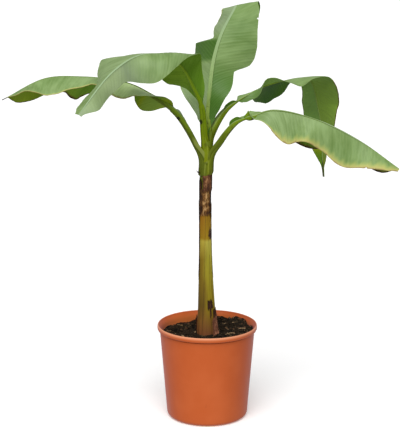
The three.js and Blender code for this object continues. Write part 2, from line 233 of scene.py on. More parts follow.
LEAVES = [
    {
        "name": "upright",
        "midrib": [
            (0, .005, .48), (0, .01, .56), (.005, .02, .63), (.015, .04, .705), (.035, .06, .77),
            (.065, .09, .825), (.075, .115, .84), (.08, .135, .82), (.076, .15, .74), (.052, .16, .645),
        ],
        "neck": 1,
        "across": (1, .1, 0),
        "rib": [.0105, .0105, .01, .0095, .009, .008, .007, .006, .005, .004, .002],
        "ripple": .002,
        "belly": .3,
        "lip": .4,
        "tears": [("right", .53, .05, .0012)],
        "right": {
            "width": [
                (0, .019), (.05, .031), (.1, .043), (.15, .054), (.2, .0585), (.246, .0595),
                (.253, .063), (.296, .0915), (.303, .0945), (.35, .1), (.4, .0985), (.45, .093),
                (.5, .083), (.55, .073), (.6, .06), (.7, .06), (.8, .055), (.9, .03), (1, .003),
            ],
            "fold": [20, 30, 0, 0, 15, 30, 45, -10, -30, -30, -20],
            "curl": [-10, -10],
            "dry": [0, 0, 0, 0, 0, 0, 0, .002, .002, .003, .006],
            "tone": [1, .95, .8, .15, .2, .2, .1, .1, 0, 0, 0],
        },
        "left": {
            "width": [
                (0, .026), (.05, .044), (.1, .067), (.2, .111), (.3, .117), (.377, .118), (.398, .032),
                (.44, .045), (.5, .06), (.55, .046), (.6, .043), (.65, .03), (.8, .06), (.9, .05),
                (1, .004),
            ],
            "fold": [
                -10, -15, -20, -35, -50, -55, -60, -60, -58, -56, -62, -52, -45, -25, -20, -20, -20,
                -20, -20, -20, -20,
            ],
            "dry": [0, 0, 0, 0, .001, .003, .004, .004, .003, .003, .006],
            "tone": [
                (0, -.6), (.1, -.5), (.2, -.3), (.265, -.2), (.295, .9), (.375, 1), (.4, 0), (.45, -.7),
                (.6, -.8), (.7, 0), (1, 0),
            ],
        },
    },
    {
        "name": "front_left",
        "midrib": [
            (-.001, .008, .44), (-.0085, -.002, .535), (-.015, -.024, .6), (-.035, -.045, .645),
            (-.065, -.075, .7), (-.105, -.115, .731), (-.165, -.165, .732), (-.225, -.215, .695),
            (-.298, -.26, .604),
        ],
        "neck": 2,
        "rib": [.013, .0095, .007, .006, .0055, .005, .0045, .004, .0035, .003, .002],
        "ripple": .002,
        "petiole": [.0215, .0205, .0185, .016],
        "belly": .15,
        "lip": .25,
        "bruises": [(.12, 285, .008)],
        "tears": [("right", .46, .05, .003)],
        "right": {
            "width": [
                (0, .006), (.1, .025), (.2, .053), (.25, .06), (.3, .062), (.4, .085), (.5, .097),
                (.55, .1025), (.59, .119), (.605, .121), (.65, .113), (.7, .1025), (.75, .082),
                (.8, .081), (.85, .072), (.9, .061), (.95, .049), (1, .019),
            ],
            "fold": [
                0, -3, -5, -25, -45, -40, -35, -25, -15, -8, -4, -4, -1, -6, -11, -14, -20, -20, -15,
                -11, 0,
            ],
            "tone": [0, -.1, -.2, -.1, 0, 0, -.2, -.2, 0, 0, 0],
        },
        "left": {
            "width": [
                (0, .006), (.1, .03), (.2, .051), (.25, .0575), (.3, .0565), (.35, .0635), (.4, .075),
                (.5, .083), (.6, .064), (.7, .043), (.8, .046), (.9, .039), (1, .008),
            ],
            "fold": [10, 80, 95, 75, 35, -10, -60, -82, -88, -80, -40],
            "curl": [-10, -15, -30, -90, -110, -70, -25, -20, -20, -20, -20],
            "tone": [.1, .1, .1, 0, -.1, -.1, -.5, -1.3, -1.5, -1.45, -1],
        },
    },
    {
        "name": "left",
        "midrib": [
            (-.002, 0, .42), (-.0205, 0, .481), (-.0425, 0, .5265), (-.0665, -.005, .566),
            (-.088, -.01, .59), (-.135, -.015, .62), (-.2, -.025, .656), (-.315, -.045, .6725),
            (-.4, -.06, .669), (-.49, -.08, .625),
        ],
        "neck": 4,
        "thread": .014,
        "rib": [.0165, .012, .008, .006, .0055, .005, .0045, .004, .0035, .0035, .0035],
        "withered": .985,
        "ripple": .003,
        "petiole": [.0225, .0205, .0185, .019, .019],
        "drop": .004,
        "wrap": 103,
        "belly": 1.2,
        "lip": 1,
        "dull": .28,
        "bruises": [(.165, 246, .0055)],
        "flaps": [("right", .024, .016, .0065, 70), ("left", .04, .016, .006, 70)],
        "right": {
            "width": [
                (0, .006), (.05, .02), (.1, .036), (.15, .045), (.2, .036), (.25, .012), (.3, .03),
                (.35, .06), (.4, .075), (.45, .075), (.5, .068), (.54, .08), (.575, .096), (.61, .089),
                (.65, .067), (.7, .066), (.75, .07), (.8, .066), (.85, .057), (.9, .049), (.95, .041),
                (.97, .034), (.985, .02), (1, .002),
            ],
            "fold": [-10, -75, -80, -40, -20, -35, -35, -30, -35, -45, -30],
            "dry": [0, .001, .002, .003, .003, .004, .016, .014, .001, .004, .004],
            "tone": [-1, -1, -.6, -.1, 0, 0, -.2, -.4, -.5, -.7, -.8],
            "under": [
                (0, -1), (.1, -1.6), (.15, -1.5), (.2, -.3), (.25, .2), (.4, 0), (.5, 0), (.6, -.2),
                (.8, -.5), (1, -.8),
            ],
        },
        "left": {
            "width": [
                (0, .006), (.015, .013), (.03, .0195), (.05, .024), (.1, .041), (.15, .055), (.2, .064),
                (.25, .057), (.3, .0545), (.35, .0565), (.4, .049), (.45, .045), (.5, .045),
                (.55, .047), (.6, .05), (.65, .056), (.7, .061), (.75, .06), (.8, .058), (.85, .05),
                (.9, .036), (.95, .022), (1, .002),
            ],
            "fold": [
                55, 40, 22, 8, 0, -15, -40, -40, -35, -20, -10, -18, -25, -28, -30, -30, -30, -15, 0,
                -5, -10,
            ],
            "dry": [0, 0, 0, .008, .009, .006, .006, .005, .005, .006, .004],
            "tone": [
                (0, .1), (.06, -.1), (.1, -.8), (.15, -1.9), (.2, -2.2), (.36, -2.2), (.42, -.2),
                (1, 0),
            ],
            "under": [(0, -1), (.05, -.9), (.09, -.3), (.13, .2), (.2, 0), (1, 0)],
        },
    },
    {
        "name": "back_right",
        "midrib": [
            (.002, .005, .44), (.0045, .01, .5085), (.0195, .02, .547), (.0455, .03, .5815),
            (.083, .04, .6065), (.138, .06, .635), (.2, .08, .651), (.24, .1, .656), (.266, .12, .65),
            (.28, .13, .622), (.29, .14, .58), (.3, .14, .535), (.31, .135, .39),
        ],
        "neck": 4,
        "rib": [.006, .0045, .004, .004, .004, .004, .004, .004, .004, .005, .005],
        "withered": .9,
        "ripple": .002,
        "petiole": [.0215, .02, .0215, .0235, .021, .014, .006],
        "belly": .3,
        "lip": .4,
        "dull": .25,
        "wing": .018,
        "flaps": [("right", .031, .02, .0115, 78)],
        "right": {
            "width": [
                (0, .0105), (.025, .0155), (.05, .017), (.075, .021), (.1, .026), (.15, .028),
                (.2, .024), (.25, .03), (.3, .057), (.35, .066), (.4, .07), (.45, .079), (.5, .085),
                (.55, .081), (.6, .0765), (.65, .0755), (.7, .074), (.75, .073), (.8, .068),
                (.85, .043), (.9, .028), (.95, .006), (1, .004),
            ],
            "fold": [
                -65, -55, -5, 46, 58, 18, -5, 9, 14, 13, 13, 12, 10, 3, -5, -10, -15, -18, -20, -10, 0,
            ],
            "dry": [0, 0, 0, 0, 0, .004, .005, .005, .004, .002, .001],
            "tone": [.6, .5, .2, .1, .1, 0, 0, 0, 0, 0, 0],
            "under": [
                (0, .3), (.1, .1), (.15, -2), (.25, -2), (.42, -2), (.47, -1.75), (.85, -1.6), (1, 0),
            ],
        },
        "left": {
            "width": [
                (0, .012), (.05, .008), (.075, .014), (.1, .06), (.125, .09), (.15, .11), (.2, .1125),
                (.225, .104), (.25, .0865), (.275, .072), (.3, .056), (.35, .04), (.4, .035),
                (.5, .038), (.55, .044), (.6, .056), (.65, .058), (.7, .055), (.8, .045), (.85, .038),
                (.9, .024), (.95, .007), (1, .004),
            ],
            "fold": [
                50, 20, -22, -24, -30, -32, -35, -18, 0, -5, -10, -3, 5, 2, 0, 0, 0, 5, 10, 10, 10,
            ],
            "dry": [0, 0, 0, 0, 0, .002, .002, .002, .002, .002, .002],
            "tone": [.2, .4, .9, .6, .1, .3, .3, .2, .1, 0, 0],
            "under": [
                (0, .2), (.1, .4), (.2, .9), (.3, .6), (.42, .1), (.47, -2.1), (.8, -2.1), (.9, 0),
                (1, 0),
            ],
        },
    },
    {
        "name": "right",
        "midrib": [
            (.002, -.003, .43), (.013, -.01, .474), (.035, -.015, .515), (.07, -.025, .556),
            (.107, -.035, .571), (.16, -.05, .59), (.265, -.08, .571), (.37, -.11, .522),
            (.465, -.135, .457),
        ],
        "neck": 4,
        "rib": [
            (0, .017), (.03, .016), (.048, .0065), (.2, .0055), (.4, .0045), (.6, .004), (.8, .003),
            (1, .002),
        ],
        "ripple": .0025,
        "petiole": [
            (0, .023), (.15, .0225), (.3, .022), (.43, .021), (.57, .019), (.71, .017), (.86, .0105),
            (.93, .0075), (.96, .014), (1, .017),
        ],
        "wrap": 61,
        "belly": .9,
        "lip": .6,
        "dull": .2,
        "bruises": [(.196, 290, .005)],
        "wing": .02,
        "flaps": [
            ("right", .041, .018, .0118, 85), ("right", .005, .012, .008, 92),
            ("left", .02, .026, .009, 60),
        ],
        "tears": [("right", .835, .08, .004)],
        "right": {
            "width": [
                .01, .02, .04, .0555, .0685, .077, .079, .0705, .065, .0625, .065, .068, .073, .077,
                .076, .07, .061, .052, .042, .034, .017,
            ],
            "fold": [-45, -55, -70, -70, -55, -75, -80, -75, -50, -30, -15],
            "curl": [-10, -10],
            "dry": [0, .006, .022, .028, .022, .022, .022, .022, .026, .034, .034],
            "tone": [-.1, -.1, -.1, -.1, 0, 0, 0, .1, .1, .1, 0],
            "under": [(-.12, .3), (-.05, .3), (-.02, -.5), (.012, -.5), (.04, 0), (1, 0)],
        },
        "left": {
            "width": [
                .014, .022, .035, .0525, .07, .083, .086, .086, .088, .091, .09, .0905, .09, .0855, .08,
                .0755, .073, .08, .073, .061, .018,
            ],
            "fold": [
                45, 20, -25, -32, -40, -50, -55, -60, -60, -55, -50, -45, -40, -38, -35, -35, -35, -35,
                -35, -28, -15,
            ],
            "dry": [0, .001, .004, .014, .014, .006, .004, .004, .01, .02, .02],
            "tone": [0, 0],
        },
    },
]


def camera():
    data = bpy.data.cameras.new("camera")
    data.lens = CAMERA_LENS
    made = bpy.data.objects.new("camera", data)
    made.location = CAMERA_PLACE
    made.rotation_euler = (math.radians(90 - CAMERA_DIP), 0, 0)
    bpy.context.scene.collection.objects.link(made)
    bpy.context.scene.camera = made


camera()


# Materials

def srgb(red, green, blue):
    """A colour given as it looks on a screen, 0 to 255, as the shader's own linear values."""
    def linear(value):
        value = value / 255
        return value / 12.92 if value <= 0.04045 else ((value + 0.055) / 1.055) ** 2.4
    return (linear(red), linear(green), linear(blue), 1)


class Shade:
    """A socket in a material's nodes. Arithmetic on shades adds Math nodes."""

    def __init__(self, tree, socket=None):
        self.tree = tree
        self.socket = socket

    def node(self, kind, settings=None, inputs=None, out=0):
        """Adds a node with its settings and the values or links of its sockets."""
        made = self.tree.nodes.new("ShaderNode" + kind)
        for name, value in (settings or {}).items():
            if name == "stops":
                self.set_stops(made.color_ramp, value)
            else:
                setattr(made, name, value)
        for key, value in (inputs or {}).items():
            self.feed(made.inputs[key], value)
        return Shade(self.tree, made.outputs[out])

    def feed(self, socket, value):
        if isinstance(value, Shade):
            self.tree.links.new(value.socket, socket)
        else:
            socket.default_value = srgb(*value) if socket.type == "RGBA" else value

    @staticmethod
    def set_stops(ramp, stops):
        while len(ramp.elements) < len(stops):
            ramp.elements.new(1)
        for element, (place, colour) in zip(ramp.elements, stops):
            element.position = place
            element.color = srgb(*colour)

    def maths(self, operation, *values):
        return self.node("Math", {"operation": operation}, dict(enumerate(values)))

    def __add__(self, other):
        return self.maths("ADD", self, other)

    __radd__ = __add__

    def __sub__(self, other):
        return self.maths("SUBTRACT", self, other)

    def __rsub__(self, other):
        return self.maths("SUBTRACT", other, self)

    def __mul__(self, other):
        return self.maths("MULTIPLY", self, other)

    __rmul__ = __mul__

    def band(self, low, high):
        """0 below low, 1 above high, smooth between."""
        settings = {"interpolation_type": "SMOOTHSTEP"}
        return self.node("MapRange", settings, {"Value": self, "From Min": low, "From Max": high})

    def value(self, name):
        """A named value that the mesh carries."""
        return self.node("Attribute", {"attribute_name": name}, out="Fac")

    def place(self, stretch=(1, 1, 1)):
        """Object coordinates, scaled along each axis."""
        spot = self.node("TexCoord", out="Object")
        return self.node("Mapping", inputs={"Vector": spot, "Scale": stretch})

    def speckle(self, scale, where=None, detail=3, roughness=0.55):
        inputs = {"Scale": scale, "Detail": detail, "Roughness": roughness}
        inputs["Vector"] = where or self.place()
        return self.node("TexNoise", inputs=inputs)

    def mix(self, share, first, second):
        return self.node("Mix", {"data_type": "RGBA"}, {0: share, 6: first, 7: second}, out=2)

    def coats(self, base, layers):
        """Colours laid over a base one after another, each with its share."""
        for share, colour in layers:
            base = self.mix(share, base, colour)
        return base

    def ramp(self, share, stops):
        return self.node("ValToRGB", {"stops": stops}, {"Fac": share})

    def bump(self, height, distance, strength=1):
        return self.node("Bump", inputs={"Height": height, "Distance": distance, "Strength": strength})


def material(name, look):
    """A material whose shader sockets are fed as look says."""
    made = bpy.data.materials.new(name)
    made.use_nodes = True
    shade = Shade(made.node_tree)
    shader = made.node_tree.nodes["Principled BSDF"]
    for socket, value in look(shade).items():
        shade.feed(shader.inputs[socket], value)
    return made


def terracotta_plastic(s):
    blotch = s.speckle(14, detail=2).band(0.35, 0.7)
    scuff = s.speckle(60, s.place((1, 1, 0.4)), detail=5).band(0.66, 0.78)
    grain = s.speckle(900, detail=2)
    base = s.coats(s.mix(blotch, (200, 92, 34), (205, 98, 42)), [
        (scuff * 0.4, (172, 74, 34)),
        # Painted highlight along the rim's top.
        (s.value("brow") * 0.78, (236, 164, 124)),
        # Painted shade in the groove under the rim.
        (s.value("groove") * 0.9, (92, 36, 14)),
        # Painted light on the inner wall, which lies in shade.
        (s.value("inside") * 0.8, (222, 126, 62)),
        # Painted shade on the inner wall towards the right.
        (s.value("stain") * 0.4, (144, 70, 40)),
    ])
    return {
        "Base Color": base,
        "Roughness": 0.42 + 0.12 * blotch + 0.1 * scuff,
        "Specular IOR Level": 0.25,
        "Sheen Weight": 0.2,
        "Sheen Roughness": 0.5,
        "Sheen Tint": (196, 168, 206),
        "Normal": s.bump(grain, 0.00015, 0.5),
    }


def compost(s):
    clod = s.speckle(80, detail=6, roughness=0.7)
    dust = s.speckle(260, detail=4)
    base = s.ramp(clod, [(0.38, (10, 8, 6)), (0.55, (36, 29, 19)), (0.75, (100, 82, 58))])
    return {
        "Base Color": base,
        "Roughness": 0.95,
        "Specular IOR Level": 0.1,
        "Normal": s.bump(clod + 0.5 * dust, 0.002, 0.8),
    }


def plain(name, colour, roughness=0.8):
    """A small piece's own colour, with a little grain."""
    def look(s):
        grain = s.speckle(300, detail=4)
        return {
            "Base Color": s.mix(0.45 + 0.55 * grain.band(0.3, 0.7), (0, 0, 0), colour),
            "Roughness": roughness,
            "Specular IOR Level": 0.2,
            "Normal": s.bump(grain, 0.0006, 0.6),
        }
    return material(name, look)


def green_stem(s):
    height = s.value("height")
    side = s.value("side")
    fibre = s.speckle(1, s.place((260, 260, 9)), detail=4)
    patch = s.speckle(1, s.place((60, 60, 14)), detail=3)
    scar = s.speckle(1, s.place((190, 190, 80)), detail=4)
    shifted = (height + 0.012 * (patch - 0.5)) * 2
    left = s.ramp(shifted, [
        (0.0, (126, 76, 44)), (0.08, (130, 90, 34)), (0.16, (106, 83, 16)),
        (0.4, (132, 108, 16)), (0.497, (176, 158, 54)), (0.512, (150, 116, 10)),
        (0.65, (142, 92, 4)), (0.82, (92, 98, 14)), (1.0, (104, 122, 14)),
    ])
    right = s.ramp(shifted, [
        (0.0, (118, 70, 42)), (0.08, (126, 92, 28)), (0.16, (146, 126, 12)),
        (0.4, (160, 150, 38)), (0.497, (182, 172, 68)), (0.512, (156, 124, 12)),
        (0.65, (142, 104, 6)), (0.82, (98, 106, 16)), (1.0, (110, 130, 16)),
    ])
    spot = s.value("spot") + 1.1 * (scar - 0.5)
    base = s.coats(s.mix((side + 0.5 * (patch - 0.5)).band(-0.45, 0.35), left, right), [
        (fibre.band(0.5, 0.75) * 0.45, (84, 62, 14)),
        (s.value("seam") * 0.6, (70, 52, 16)),
        (spot.band(0.36, 0.56), (52, 28, 16)),
    ])
    return {
        "Base Color": base,
        "Roughness": 0.5 + 0.2 * fibre,
        "Specular IOR Level": 0.25,
        "Normal": s.bump(fibre, 0.0008, 0.7),
    }


def dry_sheath(s):
    age = s.value("age")
    fibre = s.speckle(1, s.place((330, 330, 30)), detail=5)
    patch = s.speckle(1, s.place((95, 95, 60)), detail=4)
    shade = patch + 0.5 * (fibre - 0.5) - 0.35 * age
    crack = s.maths("ABSOLUTE", s.speckle(1, s.place((150, 150, 90)), detail=5) - 0.5)
    tan = s.ramp(shade, [
        (0.16, (30, 18, 10)), (0.32, (66, 40, 20)), (0.48, (126, 86, 42)), (0.62, (196, 154, 102)),
    ])
    base = s.coats(tan, [
        (s.value("blush"), s.mix(shade.band(0.25, 0.6), (120, 74, 52), (172, 116, 88))),
        ((1 - crack.band(0.005, 0.04)) * 0.7, (44, 26, 14)),
    ])
    return {
        "Base Color": base,
        "Roughness": 0.85,
        "Specular IOR Level": 0.2,
        "Normal": s.bump(fibre + patch, 0.0012, 0.8),
    }


def petiole_green(s):
    run = s.value("along")
    margin = s.value("margin")
    fibre = s.speckle(1, s.place((240, 240, 40)), detail=4)
    patch = s.speckle(55, detail=4)
    strand_place = s.node("CombineXYZ", inputs={
        0: s.value("flank") * STRANDS_ROUND, 1: s.value("side") * STRANDS_ROUND, 2: run * STRANDS_ALONG,
    })
    strand = s.speckle(1, strand_place, detail=3)
    under = s.ramp(run, [
        (0, (120, 128, 8)), (0.14, (120, 142, 2)), (0.3, (120, 152, 4)),
        (0.5, (118, 148, 38)), (0.7, (138, 166, 86)), (1, (140, 168, 96)),
    ])
    upper = s.ramp(run, [
        (0, (110, 124, 8)), (0.08, (124, 144, 26)), (0.16, (142, 166, 76)),
        (0.26, (148, 176, 108)), (0.55, (152, 176, 132)), (1, (154, 178, 138)),
    ])
    stalk = 1 - run.band(0.25, 0.5)
    bruise = s.value("bruise") + 0.3 * (patch - 0.5)
    base = s.coats(s.mix(s.value("groove"), under, upper), [
        # Painted shade on the petiole's underside.
        (s.value("belly").band(0.35, 1.0) * 0.65, (58, 68, 6)),
        (s.value("dull"), (102, 116, 40)),
        (strand.band(0.5, 0.68) * stalk * 0.55, (60, 68, 6)),
        ((1 - strand.band(0.32, 0.46)) * stalk * 0.4, (158, 168, 70)),
        (fibre.band(0.5, 0.75) * (0.08 + 0.22 * stalk), (70, 80, 4)),
        (patch.band(0.58, 0.75) * (1 - run.band(0.2, 0.45)) * 0.55, (62, 60, 10)),
        # A painted shade band inside the margin, then its own pale edge.
        (margin.band(0.15, 0.4) * 0.5, (58, 68, 4)),
        (margin.band(0.5, 0.9) * 0.55, (158, 168, 84)),
        (s.value("withered"), (62, 60, 40)),
        # Painted shadow spots on the petiole.
        (bruise.band(0.25, 0.75) * 0.9, (24, 26, 6)),
    ])
    return {
        "Base Color": base,
        "Roughness": 0.5 + 0.15 * fibre,
        "Specular IOR Level": 0.12,
        "Normal": s.bump(fibre, 0.0006, 0.5),
    }


def leaf_look(tone_name, colours, roughness, gloss):
    """A blade's side: streaks along the lateral veins, a paler strip by the rib and a dry edge."""
    def look(s):
        vein = s.value("vein")
        across = s.value("across")
        dry = s.value("dry")
        tone = s.value(tone_name)
        deeper = s.maths("MAXIMUM", tone, 0)
        streak_place = s.node("CombineXYZ", inputs={0: vein * 0.22, 1: across * 1.2, 2: 0})
        streak = s.speckle(1, streak_place, detail=4, roughness=0.6)
        speck_place = s.node("CombineXYZ", inputs={0: vein * 2, 1: across * 30, 2: 0})
        speck = s.speckle(1, speck_place, detail=3)
        cloud = s.speckle(11, detail=2)
        line = s.maths("SINE", vein * math.pi)
        near = s.maths("ABSOLUTE", across)
        # Below -1 the tone mixes in a painted light colour.
        painted_light_share = s.maths("MAXIMUM", -1 - tone, 0) * (0.75 + 0.3 * speck.band(0.45, 0.7))
        parched = dry + 0.6 * (streak - 0.5) * dry
        base = s.coats(s.mix(streak.band(0.3, 0.7), colours["middle"], colours["light"]), [
            # Deeper and paler colours: partly the blade's own tone, partly painted shade and painted
            # light.
            (s.maths("MAXIMUM", tone + 0.35 * (streak - 0.5), 0), colours["deep"]),
            (s.maths("MAXIMUM", 0.2 * (streak - 0.5) - tone, 0), colours["pale"]),
            (painted_light_share, colours["bleached"]),
            (cloud.band(0.45, 0.75) * 0.35, colours["deep"]),
            (line.band(0.5, 1.0) * (0.15 - 0.08 * deeper), colours["rib"]),
            ((1 - near.band(0.0, 0.07)) * 0.45, colours["rib"]),
            (near.band(0.975, 0.995) * 0.4, colours["rib"]),
            (parched.band(0.0, 0.9), s.ramp(parched, colours["edge"])),
        ])
        return {
            "Base Color": base,
            "Roughness": roughness + 0.12 * streak + 0.2 * dry,
            "Specular IOR Level": gloss,
            "Normal": s.bump(line * 0.25 + streak, 0.0007, 0.5),
        }
    return look


POT_PLASTIC = material("terracotta_plastic", terracotta_plastic)
COMPOST = material("compost", compost)
STEM_SKIN = material("green_stem", green_stem)
DRY_PAPER = material("dry_sheath", dry_sheath)
PETIOLE_SKIN = material("petiole_green", petiole_green)
LEAF_UPPER = material("leaf_upper", leaf_look("tone", {
    "light": (140, 168, 104), "middle": (112, 140, 74), "deep": (66, 108, 22),
    "pale": (144, 164, 124), "bleached": (222, 250, 174), "rib": (152, 176, 106),
    "edge": [
        (0.1, (144, 170, 96)), (0.5, (168, 180, 98)),
        (0.85, (186, 182, 106)), (1.0, (152, 132, 80)),
    ],
}, roughness=0.45, gloss=0.35))
LEAF_UNDER = material("leaf_under", leaf_look("under_tone", {
    "light": (106, 146, 36), "middle": (88, 128, 18), "deep": (40, 84, 18),
    "pale": (138, 156, 26), "bleached": (118, 160, 80), "rib": (130, 160, 40),
    "edge": [
        (0.1, (104, 108, 30)), (0.5, (92, 74, 26)),
        (0.85, (62, 42, 18)), (1.0, (36, 22, 10)),
    ],
}, roughness=0.55, gloss=0.12))
BARK_CHIP = plain("bark_chip", (100, 72, 48))
PALE_CHIP = plain("pale_chip", (172, 142, 104))
STRAW = plain("straw", (160, 136, 92), 0.7)
CRUMB = plain("crumb", (46, 34, 20), 0.95)


# Modelling

def deselect():
    bpy.ops.object.select_all(action="DESELECT")


def finish_piece(piece, replaced=(), smooth=50):
    """Smooths a piece, lets it ride on the plant's one body and hides the parts that it stands for."""
    deselect()
    piece.select_set(True)
    bpy.context.view_layer.objects.active = piece
    bpy.ops.object.shade_smooth_by_angle(angle=math.radians(smooth))
    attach(piece, "root")
    if replaced:
        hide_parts(*replaced)
    return piece


def carry(mesh, name, values):
    """Gives each point of a mesh a named value."""
    mesh.attributes.new(name, "FLOAT", "POINT").data.foreach_set("value", values)


def edit_faces(piece, chosen):
    """Goes into edit mode with only the chosen faces selected."""
    bpy.ops.object.mode_set(mode="EDIT")
    bpy.ops.mesh.select_mode(type="FACE")
    bpy.ops.mesh.select_all(action="DESELECT")
    bpy.ops.object.mode_set(mode="OBJECT")
    piece.data.polygons.foreach_set("select", chosen)
    bpy.ops.object.mode_set(mode="EDIT")


def shaped_grid(name, skins, columns, rows, shape, cut=None, closed=False):
    """A grid of faces in the given materials, moved to the points that shape gives for the shares x and y
    of its two sides. shape also gives named values for the mesh to carry. Faces for which cut is true are
    taken out. A closed grid is joined where its sides meet, and its ends are filled."""
    deselect()
    bpy.ops.mesh.primitive_grid_add(x_subdivisions=columns, y_subdivisions=rows, size=1)
    piece = bpy.context.object
    piece.name = name
    mesh = piece.data
    mesh.name = name
    for skin in skins:
        mesh.materials.append(skin)
    flat = np.empty(len(mesh.vertices) * 3)
    mesh.vertices.foreach_get("co", flat)
    flat = flat.reshape(-1, 3) + 0.5
    if cut:
        centres = np.array([face.center[:2] for face in mesh.polygons]) + 0.5
        gone = cut(centres[:, 0], centres[:, 1])
    points, values = shape(flat[:, 0], flat[:, 1])
    mesh.vertices.foreach_set("co", points.ravel())
    for key, value in values.items():
        carry(mesh, key, value)
    mesh.update()
    if cut and gone.any():
        edit_faces(piece, gone)
        bpy.ops.mesh.delete(type="FACE")
        bpy.ops.object.mode_set(mode="OBJECT")
    if closed:
        bpy.ops.object.mode_set(mode="EDIT")
        bpy.ops.mesh.select_all(action="SELECT")
        bpy.ops.mesh.remove_doubles(threshold=1e-6)
        bpy.ops.mesh.select_all(action="SELECT")
        bpy.ops.mesh.fill_holes(sides=0)
        bpy.ops.mesh.select_all(action="SELECT")
        bpy.ops.mesh.normals_make_consistent(inside=False)
        bpy.ops.object.mode_set(mode="OBJECT")
    return piece


def thicken(piece, thickness, offset, under=0):
    """Gives a sheet its thickness, with its other side in the material that many slots further on."""
    solid = piece.modifiers.new("thickness", "SOLIDIFY")
    solid.thickness = thickness
    solid.offset = offset
    solid.material_offset = under
    bpy.context.view_layer.objects.active = piece
    bpy.ops.object.modifier_apply(modifier=solid.name)


def join(name, pieces):
    """One piece of several."""
    deselect()
    for piece in pieces:
        piece.select_set(True)
    bpy.context.view_layer.objects.active = pieces[0]
    bpy.ops.object.join()
    pieces[0].name = name
    pieces[0].data.name = name
    return pieces[0]


def cubic(first, second, enter, leave, t):
    """Goes from the first value to the second, with the given slopes where it enters and leaves."""
    bend = 3 * (second - first) - 2 * enter - leave
    swing = 2 * (first - second) + enter + leave
    return first + enter * t + bend * t ** 2 + swing * t ** 3


def steep(places, values, share):
    """Values that go from one given value to the next without swinging past it."""
    spans = np.diff(places)
    slopes = np.diff(values) / spans
    before, after = slopes[:-1], slopes[1:]
    i = np.clip(np.searchsorted(places, share, side="right") - 1, 0, len(spans) - 1)
    t = np.clip((share - places[i]) / spans[i], 0, 1)
    between = np.where(after * before > 0, 2 * after * before / (after + before + 1e-12), 0)
    turns = np.concatenate([[0], between, [0]])
    return cubic(values[i], values[i + 1], turns[i] * spans[i], turns[i + 1] * spans[i], t)


def along(values, share):
    """Smooth values at shares from 0 to 1 of a list of evenly spaced ones, or of (share, value) pairs."""
    values = np.asarray(values, float)
    if values.ndim == 2:
        return steep(values[:, 0], values[:, 1], share)
    padded = np.concatenate([values[:1], values, values[-1:]])
    spot = np.clip(share, 0, 1) * (len(values) - 1)
    i = np.minimum(spot.astype(int), len(values) - 2)
    t = spot - i
    before, first, second, after = padded[i], padded[i + 1], padded[i + 2], padded[i + 3]
    return cubic(first, second, (second - before) / 2, (after - first) / 2, t)


def smooth_share(value, low, high):
    t = np.clip((value - low) / (high - low), 0, 1)
    return t * t * (3 - 2 * t)


def unit(vectors):
    return vectors / np.linalg.norm(vectors, axis=-1, keepdims=True)


def smooth_path(landmarks):
    """Dense points on a smooth curve through the landmarks, and the length along it at each."""
    p = np.array(landmarks, float)
    p = np.vstack([2 * p[0] - p[1], p, 2 * p[-1] - p[-2]])
    chords = np.sqrt(np.linalg.norm(np.diff(p, axis=0), axis=1))
    t = np.linspace(0, 1, PATH_CUTS, endpoint=False)[:, None]
    spans = []
    for i in range(1, len(p) - 2):
        p0, p1, p2, p3 = p[i - 1:i + 3]
        d0, d1, d2 = chords[i - 1:i + 2]
        enter = d1 * ((p1 - p0) / d0 - (p2 - p0) / (d0 + d1) + (p2 - p1) / d1)
        leave = d1 * ((p2 - p1) / d1 - (p3 - p1) / (d1 + d2) + (p3 - p2) / d2)
        spans.append(cubic(p1, p2, enter, leave, t))
    points = np.vstack([*spans, p[-2:-1]])
    steps = np.linalg.norm(np.diff(points, axis=0), axis=1)
    return points, np.concatenate([[0], np.cumsum(steps)])


def at_lengths(lengths, rows, wanted):
    return np.stack([np.interp(wanted, lengths, column) for column in rows.T], -1)


class Midrib:
    """A leaf's midrib, with frames that don't twist about it: point, right and up."""

    def __init__(self, leaf):
        landmarks = np.array(leaf["midrib"]) + (0, 0, SOIL_LEVEL)
        points, lengths = smooth_path(landmarks)
        self.length = lengths[-1]
        self.neck = lengths[leaf["neck"] * PATH_CUTS]
        self.blade = self.length - self.neck
        tail = points[-1] + leaf["thread"] * unit(points[-1] - points[-2])
        points = np.vstack([points, tail])
        lengths = np.append(lengths, self.length + max(leaf["thread"], PATH_STEP))
        self.lengths = np.arange(0, lengths[-1], PATH_STEP)
        self.points = at_lengths(lengths, points, self.lengths)
        tangents = unit(np.gradient(self.points, axis=0))
        heading = landmarks[-1] - landmarks[leaf["neck"]]
        across = np.array(leaf.get("across", (heading[1], -heading[0], 0)), float)
        self.rights = np.empty_like(tangents)
        neck = int(np.searchsorted(self.lengths, self.neck))
        for way in (range(neck, len(tangents)), range(neck, -1, -1)):
            right = across
            for i in way:
                right = unit(right - tangents[i] * (right @ tangents[i]))
                self.rights[i] = right
        self.ups = np.cross(self.rights, tangents)

    def frame(self, length):
        point = at_lengths(self.lengths, self.points, length)
        right = unit(at_lengths(self.lengths, self.rights, length))
        up = unit(at_lengths(self.lengths, self.ups, length))
        return point, right, up

    def share(self, length):
        """Share of the blade, negative on the petiole."""
        return (length - self.neck) / self.blade


# Pot

